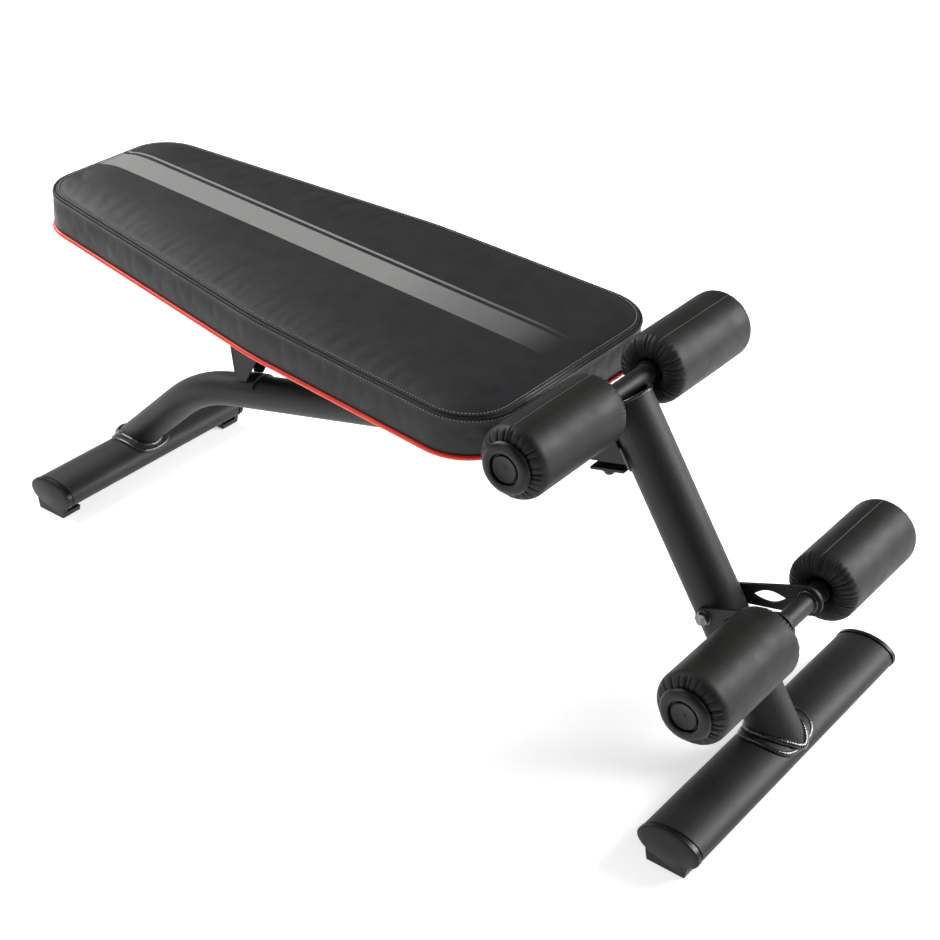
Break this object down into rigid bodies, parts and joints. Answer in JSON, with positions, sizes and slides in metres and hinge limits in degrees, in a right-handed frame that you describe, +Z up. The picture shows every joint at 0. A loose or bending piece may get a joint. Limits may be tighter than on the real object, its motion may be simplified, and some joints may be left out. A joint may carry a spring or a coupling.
{
  "type": "decline sit up bench",
  "caption": "Floor-standing abdominal bench: tapered padded board on a folding tube frame, with foam leg rollers on two cross bars and flat stabilizer feet",
  "frame": {"origin": "middle of the bench's footprint, on the floor", "axes": "+Z up; X across the bench (symmetry axis); Y along the bench, from the leg rollers at -Y to the head end at +Y"},
  "size_m": [0.5048, 1.2319, 0.5102],
  "materials": {
    "powder_coat": "fine-textured semi-gloss black powder coat",
    "zinc_steel": "dark zinc-plated fasteners",
    "black_plastic": "satin black moulded plastic",
    "pad_vinyl": "black grained vinyl with a grey centre band",
    "red_piping": "bright red vinyl piping",
    "board_wood": "plywood under black backing cloth",
    "roller_vinyl": "soft black vinyl cover over foam"
  },
  "bodies": {
    "main_frame": {"main_tube": "powder_coat", "pivot_sleeve": "zinc_steel", "rear_stabilizer_tube": "powder_coat", "rear_foot_cap_left": "black_plastic", "rear_foot_cap_right": "black_plastic", "rear_saddle_plate": "powder_coat", "rear_bracket_base": "powder_coat", "rear_bracket_cheek_left": "powder_coat", "rear_bracket_cheek_right": "powder_coat", "rear_bracket_web": "powder_coat", "rear_mount_plate": "powder_coat", "rear_mount_plate_bolt_left": "zinc_steel", "rear_mount_plate_bolt_right": "zinc_steel", "front_bracket_cheek_left": "powder_coat", "front_bracket_cheek_right": "powder_coat", "front_mount_plate": "powder_coat", "front_mount_plate_bolt_left": "zinc_steel", "front_mount_plate_bolt_right": "zinc_steel", "pad_board": "board_wood", "pad_cushion": "pad_vinyl", "pad_piping": "red_piping"},
    "front_leg": {"upright_tube": "powder_coat", "fold_cheek_left": "powder_coat", "fold_cheek_right": "powder_coat", "fold_floor_plate": "powder_coat", "lock_pin_bush": "zinc_steel", "pivot_bolt": "zinc_steel", "pivot_nut": "zinc_steel", "lower_link_left": "powder_coat", "lower_link_right": "powder_coat", "lower_link_bolt": "zinc_steel", "lower_link_nut": "zinc_steel", "lower_link_washer_left": "zinc_steel", "lower_link_washer_right": "zinc_steel", "upper_roller_bar": "powder_coat", "lower_roller_bar": "powder_coat", "bar_end_cap_upper_left": "black_plastic", "bar_end_cap_upper_right": "black_plastic", "bar_end_cap_lower_left": "black_plastic", "bar_end_cap_lower_right": "black_plastic", "front_stabilizer_tube": "powder_coat", "front_foot_cap_left": "black_plastic", "front_foot_cap_right": "black_plastic", "front_saddle_plate": "powder_coat"},
    "lock_pin": {"lock_pin": "zinc_steel", "lock_knob": "black_plastic"},
    "upper_left_roller": {"roller_foam_upper_left": "roller_vinyl", "roller_sleeve_upper_left": "black_plastic"},
    "upper_right_roller": {"roller_foam_upper_right": "roller_vinyl", "roller_sleeve_upper_right": "black_plastic"},
    "lower_left_roller": {"roller_foam_lower_left": "roller_vinyl", "roller_sleeve_lower_left": "black_plastic"},
    "lower_right_roller": {"roller_foam_lower_right": "roller_vinyl", "roller_sleeve_lower_right": "black_plastic"}
  },
  "joints": [
    {"name": "leg_fold", "type": "hinge", "parent": "main_frame", "child": "front_leg", "pos_m": [0, -0.2457, 0.3558], "axis": [1, 0, 0], "range_deg": [0, 92]},
    {"name": "lock_pin_pull", "type": "slide", "parent": "front_leg", "child": "lock_pin", "axis": [0, -0.2351, -0.972], "range_m": [0, 0.008], "stiffness_N_per_m": 600, "springref_m": -0.01},
    {"name": "upper_left_roller_spin", "type": "hinge", "parent": "front_leg", "child": "upper_left_roller", "pos_m": [-0.1445, -0.30632, 0.446], "axis": [1, 0, 0], "continuous": true},
    {"name": "upper_right_roller_spin", "type": "hinge", "parent": "front_leg", "child": "upper_right_roller", "pos_m": [0.1445, -0.30632, 0.446], "axis": [1, 0, 0], "continuous": true},
    {"name": "lower_left_roller_spin", "type": "hinge", "parent": "front_leg", "child": "lower_left_roller", "pos_m": [-0.151, -0.567, 0.229], "axis": [1, 0, 0], "continuous": true},
    {"name": "lower_right_roller_spin", "type": "hinge", "parent": "front_leg", "child": "lower_right_roller", "pos_m": [0.151, -0.567, 0.229], "axis": [1, 0, 0], "continuous": true}
  ]
}
